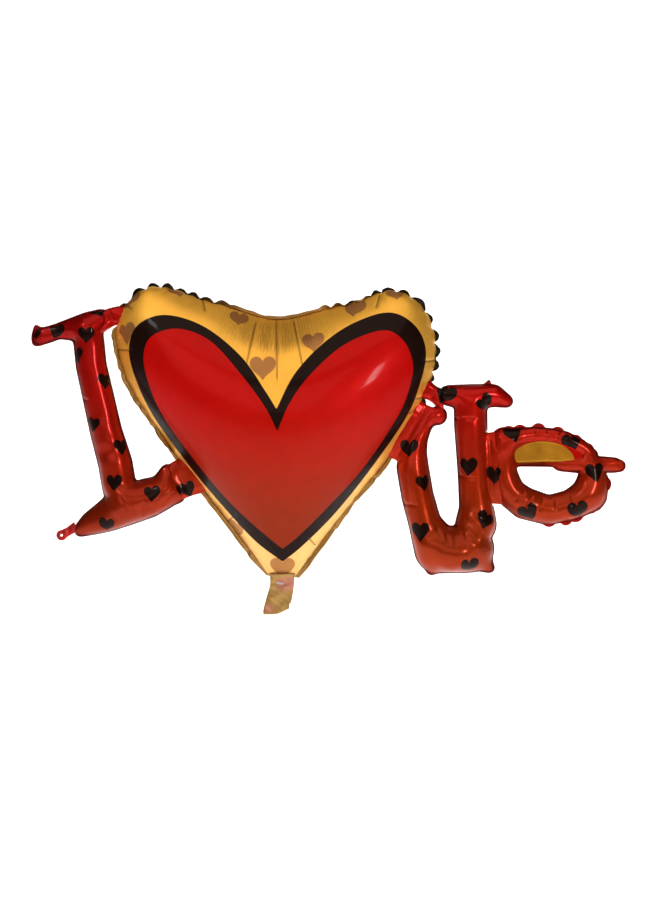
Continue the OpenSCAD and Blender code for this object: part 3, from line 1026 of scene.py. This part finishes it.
LOBES_FROM = 165            # below this height the heart's rim runs smooth
PLEAT = 3.9                 # from one fine pleat to the next at the dip
heart_gathers = Gathers("heart_front_panel", spacing=19, depth=3.4, lowest=LOBES_FROM)
heart = blown("heart_front_panel", "heart_seal_band", step=7.0, across_film=1.16,
              along_film=heart_along, plan=[(300, 0.05), (180, 0.015), (30, 0.002)],
              webs=("letter_l_link_webs", "letter_v_link_webs"),
              smoothing=60, keep_below=3, gathers=heart_gathers, grown=2.6, smooth_below=LOBES_FROM)
heart.lay_edge(heart_gathers, depth=5.5)
for start, end in HEART_CREASES:
    crease(heart, start, end)
seen = laid_out(heart)
from_rim = to_lines(heart.home, heart.rims)[0]
nearest = nearest_of(seen, heart_gathers.loop)
near_dip = np.exp(-((seen[:, 0] - MIDDLE_X) / 58) ** 2) * np.clip((seen[:, 1] - 230) / 20, 0, 1)
heart_values = {
    "dark_heart": edge_distance(seen, np.vstack([smooth_path(DARK_RIGHT), smooth_path(DARK_LEFT)])),
    "red_heart": edge_distance(seen, np.vstack([smooth_path(RED_RIGHT), smooth_path(RED_LEFT)])),
    "small_hearts": small_hearts(heart, GOLD_HEARTS),
    "creases": line_distance(seen, HEART_CREASES, width=1.2),
    "pleat_phase": nearest * 2 * math.pi / PLEAT,
    "pleat_depth": 0.9 * near_dip * np.clip(from_rim / 8, 0, 1) * np.clip((52 - from_rim) / 18, 0, 1),
    "shade": np.where(seen[:, 0] > 0, np.maximum(70 - seen[:, 0], 200 - seen[:, 1]),
                      np.maximum(60 + seen[:, 0], 338 - seen[:, 1]))}
# The welded edge is gold at the dip and down the sides; round the lobes it is painted almost black, a
# painted shade for the edge that lies in shadow.
seal_gold = plain_foil("crimped_gold_foil", (0.30, 0.15, 0.04), 0.4, over=(0.012, 0.008, 0.006),
                       attribute="shade")
heart_film, heart_seal = film_pieces(heart, "heart", heart_foil(), seal_gold, **heart_values)
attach(heart_film, "heart")
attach(heart_seal, "heart")
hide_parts("heart_front_panel", "heart_back_panel")
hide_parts("heart_seal_band")

# ---------- the letters ----------

red_foil = letter_foil()
seal_red = plain_foil("crimped_red_foil", (0.16, 0.006, 0.005), 0.35)
scallop_red = plain_foil("scalloped_red_foil", (0.24, 0.005, 0.003), 0.33)
L_HEARTS = [(-281, 308, 21, -15), (-227, 332, 21, 20), (-244, 302, 21, 0), (-255, 277, 20, 10),
            (-221, 245, 21, 0), (-237, 191, 20, -8), (-202, 163, 21, 5), (-212, 118, 21, 0),
            (-165, 104, 21, 0), (-119, 110, 21, 20), (-221, 65, 21, 0), (-306, 304, 14, 0)]
V_HEARTS = [(201, 229, 27, -30), (252, 217, 24, 35), (158, 161, 24, 0), (176, 118, 21, 10),
            (231, 138, 24, 0), (172, 56, 25, 0), (254, 70, 24, -20), (234, 12, 25, 0)]
E_HEARTS = [(288, 181, 25, 15), (264, 128, 23, 0), (362, 168, 25, 15), (391, 131, 25, 10),
            (309, 80, 26, 25), (371, 82, 26, 15)]
L_CREASES = [((-204, 100), (-196, 86)), ((-190, 94), (-186, 80)), ((-176, 93), (-176, 79)),
             ((-258, 224), (-244, 222)), ((-160, 96), (-146, 112)), ((-152, 92), (-138, 106))]
V_CREASES = [((216, 199), (240, 200)), ((218, 128), (238, 124)), ((152, 92), (166, 90)),
             ((192, 66), (198, 48)), ((204, 60), (208, 42)), ((214, 57), (217, 40)), ((224, 58), (229, 42)),
             ((234, 63), (242, 48)), ((242, 74), (252, 62))]
E_CREASES = [((302, 106), (291, 96)), ((312, 101), (304, 89)), ((326, 97), (322, 84)),
             ((342, 97), (343, 84)), ((358, 101), (364, 89)), ((318, 176), (316, 184)),
             ((330, 177), (331, 185)), ((344, 174), (348, 182))]


WELD_SHADE = 1.7            # how far from its weld the foil is painted dark, a painted shade
LETTER_ACROSS = 1.5         # the flat cut's width across a tube, where its outline's is 1
ALL_OF_IT = 1000            # a height above the whole balloon


def plain_along(home):
    """The spare length along a letter's rim."""
    return np.full(len(home), 1.02)


def stem_share(film, lowest, highest):
    """One between two heights and 0.4 beyond them: how much of a letter's film is calmed."""
    z = film.home[:, 1]
    return 0.4 + 0.6 * np.clip((z - lowest) / 20, 0, 1) * np.clip((highest - z) / 20, 0, 1)


# Each letter: the triangles' size, its hearts and creases, its webs, the heights between which its film
# lies smooth, the smoothing of its rim and of its border, the passes that calm it, and its seal.
LETTERS = {
    "letter_l": (3.4, L_HEARTS, L_CREASES, "letter_l_link_webs", (105, 345), 8, 8, 45, seal_red),
    "letter_v": (3.4, V_HEARTS, V_CREASES, "letter_v_link_webs", (75, 235), 8, 8, 34, seal_red),
    "letter_e": (3.0, E_HEARTS, E_CREASES, "letter_e_link_web", (40, 160), 2, 0, 60, scallop_red),
}
for name, (step, hearts, creases, webs, smooth_part, smoothing, soften, passes, seal) in LETTERS.items():
    film = blown(name + "_front_panel", name + "_seal_band", step, LETTER_ACROSS, plain_along,
                 plan=[(260, 0.03), (160, 0.012)], webs=(webs,), smoothing=smoothing,
                 smooth_below=ALL_OF_IT, soften=soften)
    film.settle_rim()
    film.lay_edge(gathers=None, depth=0)
    held_in(film, free=0.8, slack=0.8)
    calmed(film, passes, stem_share(film, *smooth_part))
    held_in(film, free=0.8, slack=0.6)
    for start, end in creases:
        crease(film, start, end, depth=1.1, width=1.7)
    letter_film, letter_seal = film_pieces(film, name, red_foil, seal,
                                           small_hearts=small_hearts(film, hearts),
                                           creases=line_distance(laid_out(film), creases, width=0.5),
                                           beside_weld=to_lines(film.home, film.rims)[0] - WELD_SHADE)
    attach(letter_film, name)
    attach(letter_seal, name)
    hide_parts(name + "_front_panel", name + "_back_panel")
    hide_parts(name + "_seal_band")

# ---------- the webs across the folds ----------

WEBS = {
    "letter_l_web": ("l_swing", "letter_l_link_webs", L_HEARTS, 6, (3, 4)),
    "letter_v_web": ("v_swing", "letter_v_link_webs", V_HEARTS, 5, (0.5, 14)),
    "letter_e_web": ("e_swing", "letter_e_link_web", E_HEARTS, 5, (0.5, 0.5)),
}
for name, (joint, node, hearts, beyond, spare) in WEBS.items():
    for web in fold_web(name, joint, node, hearts, red_foil, beyond, spare):
        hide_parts(node)

# ---------- the gold eye of the e ----------

eye_gold = plain_foil("gold_web_foil", (0.40, 0.17, 0.012), 0.36, 0.0005, LETTER_RED, "red_part", 0.4)
eye_loop = cap_loops("letter_e_eye_web")[0]
TUCK = 5.0                  # how far the sheet goes in under the films round it, mm
EYE_DEPTH = 2.2             # half of its depth
columns = np.linspace(eye_loop[:, 0].min() - TUCK, eye_loop[:, 0].max() + TUCK, 60)
middle = eye_loop.mean(0)
eye_rows = np.linspace(0, 1, 14)[:, None]
eye_edges = []
for upper in (False, True):
    side = eye_loop[(eye_loop[:, 1] > middle[1]) == upper]
    side = side[side[:, 0].argsort()]
    eye_edges.append(np.interp(columns, side[:, 0], side[:, 1]) + (TUCK if upper else -TUCK))
eye_z = eye_edges[0] * (1 - eye_rows) + eye_edges[1] * eye_rows
eye_flat = np.stack([np.broadcast_to(columns, eye_z.shape), eye_z], -1)
eye_wave = 0.25 * np.sin(eye_flat[..., 0] / 6) * np.cos(eye_flat[..., 1] / 5)
eye_spot = np.hypot((eye_flat[..., 0] - 324) / 40, (eye_flat[..., 1] - 146) / 25).ravel()
eye_sheet = pillow("letter_e_eye", eye_flat, np.full(eye_z.shape, EYE_DEPTH), eye_wave, eye_gold,
                   red_part=np.tile((1 - eye_spot) * 24, 2))
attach(eye_sheet, "letter_e")
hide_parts("letter_e_eye_web")

# ---------- the neck and the tail ----------

NECK_LEFT = [(-19, 5), (-17, 0), (-16.6, -8), (-18, -15), (-20.5, -23), (-23, -31), (-26, -42),
             (-25.5, -46)]
NECK_RIGHT = [(16, 5), (14, 0), (13.6, -8), (13, -15), (12, -22), (11, -29), (9.5, -36), (7.5, -39)]
TAIL_ROWS, TAIL_COLUMNS = 46, 30
TAIL_LOW = -46              # where the lowest edge point of the tail lies
tail_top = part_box("neck_sleeve")[1][2] / MM + 5
tail_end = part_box("tail_front_film")[0][2] / MM
down = np.linspace(0, 1, TAIL_ROWS)
flat = between(NECK_LEFT, NECK_RIGHT, tail_top - down * (tail_top - TAIL_LOW), TAIL_COLUMNS)
u = np.linspace(0, 1, TAIL_COLUMNS)[None, :]
slant = np.clip((down[:, None] - 0.55) / 0.45, 0, 1) ** 1.5
mouth = -3.0 + 8.0 * u ** 1.8 - 1.5 * np.sin(math.pi * u)
flat[..., 1] = np.maximum(flat[..., 1] + slant * mouth, tail_end)
tail_x, tail_z = flat[..., 0], flat[..., 1]
wrinkle = (0.8 * np.sin(tail_x / 3.1 + tail_z / 2.6) + 0.6 * np.sin(tail_x / 5 - tail_z / 3.7)
           + 0.7 * np.sin(tail_z / 1.7) * np.exp(-((tail_z + 10) / 7) ** 2))
open_end = np.clip((down[:, None] - 0.5) * 2, 0, 1)
edge_share = np.sin(math.pi * u) ** 0.7
neck_end = np.clip(1 - down[:, None] * 3.6, 0, 1) ** 1.2
depth = 0.5 + edge_share * (1.0 + 1.6 * open_end + 6.0 * neck_end)
tail_gold = plain_foil("tail_gold_foil", (0.36, 0.21, 0.065), 0.42, 0.0006,
                       over=(0.42, 0.17, 0.12), attribute="pink_patch", soft=5.0)
patch = np.hypot((tail_x - 4) / 1.4, tail_z + 9).ravel() - 9
brown = np.hypot(tail_x + 18, tail_z + 41).ravel() - 5
tail_sheet = pillow("neck_and_tail", flat, depth * np.ones(flat.shape[:2]),
                    wrinkle * (0.3 + 0.7 * edge_share), tail_gold,
                    pink_patch=np.tile(np.minimum(patch, brown), 2))
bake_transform(tail_sheet)
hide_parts("neck_sleeve", "tail_front_film", "tail_back_film", "tail_edge_seals")

# ---------- the hang tab ----------

at, along, over = fold_line("l_foot_tab_fold")
tab_loop = max(cap_loops("foot_hang_tab"), key=lambda l: np.ptp(l[:, 0]))
tab_length = ((tab_loop - at) @ over).max()
TAB_MIDDLE = 5.0            # along the fold, mm
TAB_INSIDE = 9              # how far its strip goes in under the film of the L
TAB_ROUND = 6.8             # the round end's radius
HOLE = 1.5                  # the punched hole's radius
tab_over = np.linspace(-TAB_INSIDE, tab_length - 1.5 * TAB_ROUND, 26)[:, None]
half_width = 5.4 + 0.12 * np.clip(2 - tab_over, 0, 12) + 0.5 * np.clip((tab_over - 2) / 8, 0, 1)
tab_u = np.linspace(-1, 1, 17)[None, :]
tab_flat = at + tab_over[..., None] * over + (TAB_MIDDLE + half_width * tab_u)[..., None] * along
tab_depth = 0.35 + (1 - tab_u ** 2) * (0.4 + 1.6 * np.clip((tab_over - 1) / 5, 0, 1))
tab_wave = 0.4 * np.sin(tab_over / 1.6 + tab_u * 2)
tab_red = plain_foil("hang_tab_foil", (0.42, 0.022, 0.022), 0.3)
tab = pillow("foot_tab_sheet", tab_flat, tab_depth, tab_wave, tab_red)
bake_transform(tab)
ring_middle = at + (tab_length - TAB_ROUND) * over + TAB_MIDDLE * along
ring_turn = np.linspace(0, 2 * math.pi, 49)[:, None]
ring_out = np.linspace(0, 1, 12)[None, :]
ring_reach = HOLE + (TAB_ROUND - HOLE) * ring_out
ring_flat = (ring_middle + (ring_reach * np.cos(ring_turn))[..., None] * over
             + (ring_reach * np.sin(ring_turn))[..., None] * along)
ring_depth = 0.35 + 1.5 * np.sqrt(np.clip(1 - (2 * ring_out - 1) ** 2, 0, 1)) * np.ones(ring_turn.shape)
ring_wave = 0.3 * np.sin(3 * ring_turn) * ring_out
ring = pillow("foot_tab_eyelet", ring_flat, ring_depth, ring_wave, tab_red)
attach(ring, "foot_tab")
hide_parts("foot_hang_tab")
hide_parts("foot_hang_tab")

# ---------- the nodes that are shown as drawn ----------

clear_film = valve_film()
for node in ("valve_front_film", "valve_back_film"):
    for slot in frame["nodes"][node].material_slots:
        slot.material = clear_film

# ---------- floor, light and camera ----------

FLOOR_Z = -0.42
FLOOR_REACH = 4.0           # metres to each side and to the front
WALL_START, WALL_TURN, WALL_TOP = 1.0, 0.8, 4.0     # where it curves up, its radius and its height
ACROSS_VIEW = 0.825         # metres across the picture, at the balloon
PICTURE = (660, 900)        # its width and height
SENSOR = 36.0               # mm


def floor_and_backdrop():
    """A pale floor that curves up into a pale wall."""
    rows = [(-FLOOR_REACH, FLOOR_Z), (WALL_START, FLOOR_Z)]
    for i in range(1, 13):
        turn = math.radians(90 * i / 12)
        rows.append((WALL_START + WALL_TURN * math.sin(turn), FLOOR_Z + WALL_TURN * (1 - math.cos(turn))))
    rows.append((WALL_START + WALL_TURN, WALL_TOP))
    points = [(x, y, z) for y, z in rows for x in (-FLOOR_REACH, FLOOR_REACH)]
    faces = [(2 * i, 2 * i + 1, 2 * i + 3, 2 * i + 2) for i in range(len(rows) - 1)]
    mesh = bpy.data.meshes.new("backdrop")
    mesh.from_pydata(points, [], faces)
    mesh.polygons.foreach_set("use_smooth", [True] * len(faces))
    made = added("backdrop", mesh)
    look = Look("pale_paper")
    look.set(Roughness=0.9, Base_Color=(0.93, 0.93, 0.93, 1))
    look.fade_out(start=2.3, end=3.4)
    mesh.materials.append(look.material)
    return made


def aimed(made, at):
    made.rotation_euler = (Vector(at) - made.location).to_track_quat("-Z", "Y").to_euler()


def softbox(name, place, size, power, at=(0.05, 0, 0.15), colour=(1, 1, 1)):
    """A rectangular light of so many watts, turned to face a point."""
    light = bpy.data.lights.new(name, "AREA")
    light.shape = "RECTANGLE"
    light.size, light.size_y = size
    light.energy = power
    light.color = colour
    made = added(name, light)
    made.location = place
    aimed(made, at)
    return made


def world_light(horizon, zenith):
    """A dim warm light that is weaker overhead. The camera itself sees plain white there."""
    world = bpy.data.worlds.new("studio")
    bpy.context.scene.world = world
    world.use_nodes = True
    nodes, links = world.node_tree.nodes, world.node_tree.links
    where = nodes.new("ShaderNodeTexCoord")
    split = nodes.new("ShaderNodeSeparateXYZ")
    ramp = nodes.new("ShaderNodeMapRange")
    ramp.inputs["From Min"].default_value = 0.15
    ramp.inputs["From Max"].default_value = 0.65
    ramp.inputs["To Min"].default_value = horizon
    ramp.inputs["To Max"].default_value = zenith
    links.new(where.outputs["Generated"], split.inputs[0])
    links.new(split.outputs["Z"], ramp.inputs["Value"])
    links.new(ramp.outputs["Result"], nodes["Background"].inputs["Strength"])
    nodes["Background"].inputs["Color"].default_value = (1, 0.86, 0.66, 1)
    shown = nodes.new("ShaderNodeBackground")
    shown.inputs["Color"].default_value = (1, 1, 1, 1)
    mix = nodes.new("ShaderNodeMixShader")
    links.new(nodes.new("ShaderNodeLightPath").outputs["Is Camera Ray"], mix.inputs["Fac"])
    links.new(nodes["Background"].outputs[0], mix.inputs[1])
    links.new(shown.outputs[0], mix.inputs[2])
    links.new(mix.outputs[0], nodes["World Output"].inputs["Surface"])


backdrop = floor_and_backdrop()
world_light(horizon=0.16, zenith=0.02)
WARM = (1.0, 0.9, 0.76)
softbox("front_light", (-0.5, -2.4, 1.05), (2.6, 1.2), power=14, colour=WARM)
softbox("ceiling", (0.1, -0.9, 2.0), (2.8, 1.8), power=22, colour=WARM)
softbox("window", (1.1, -1.5, 0.5), (0.16, 0.34), power=8)
softbox("lamp", (-1.2, -1.3, 1.5), (0.3, 0.2), power=4)
backdrop_light = softbox("backdrop_light", (0.0, 0.9, 2.9), (3.6, 1.0), power=62, at=(0, 1.75, -0.3))
backdrop_light.data.spread = math.radians(110)
backdrop_only = bpy.data.collections.new("backdrop_only")
backdrop_only.objects.link(backdrop)
floor_light = softbox("floor_light", (0.0, -1.9, 3.0), (6.0, 3.0), power=110, at=(0, -1.9, -0.4))
for light in (backdrop_light, floor_light):
    light.light_linking.receiver_collection = backdrop_only
bpy.context.scene.view_settings.view_transform = "Standard"

camera = bpy.data.cameras.new("camera")
camera.sensor_fit = "VERTICAL"
camera.sensor_height = SENSOR
camera.lens = SENSOR * CAMERA_AWAY / (ACROSS_VIEW * PICTURE[1] / PICTURE[0])
camera_object = added("camera", camera)
camera_object.location = CAMERA_PLACE
aimed(camera_object, LOOK_AT)
bpy.context.scene.camera = camera_object
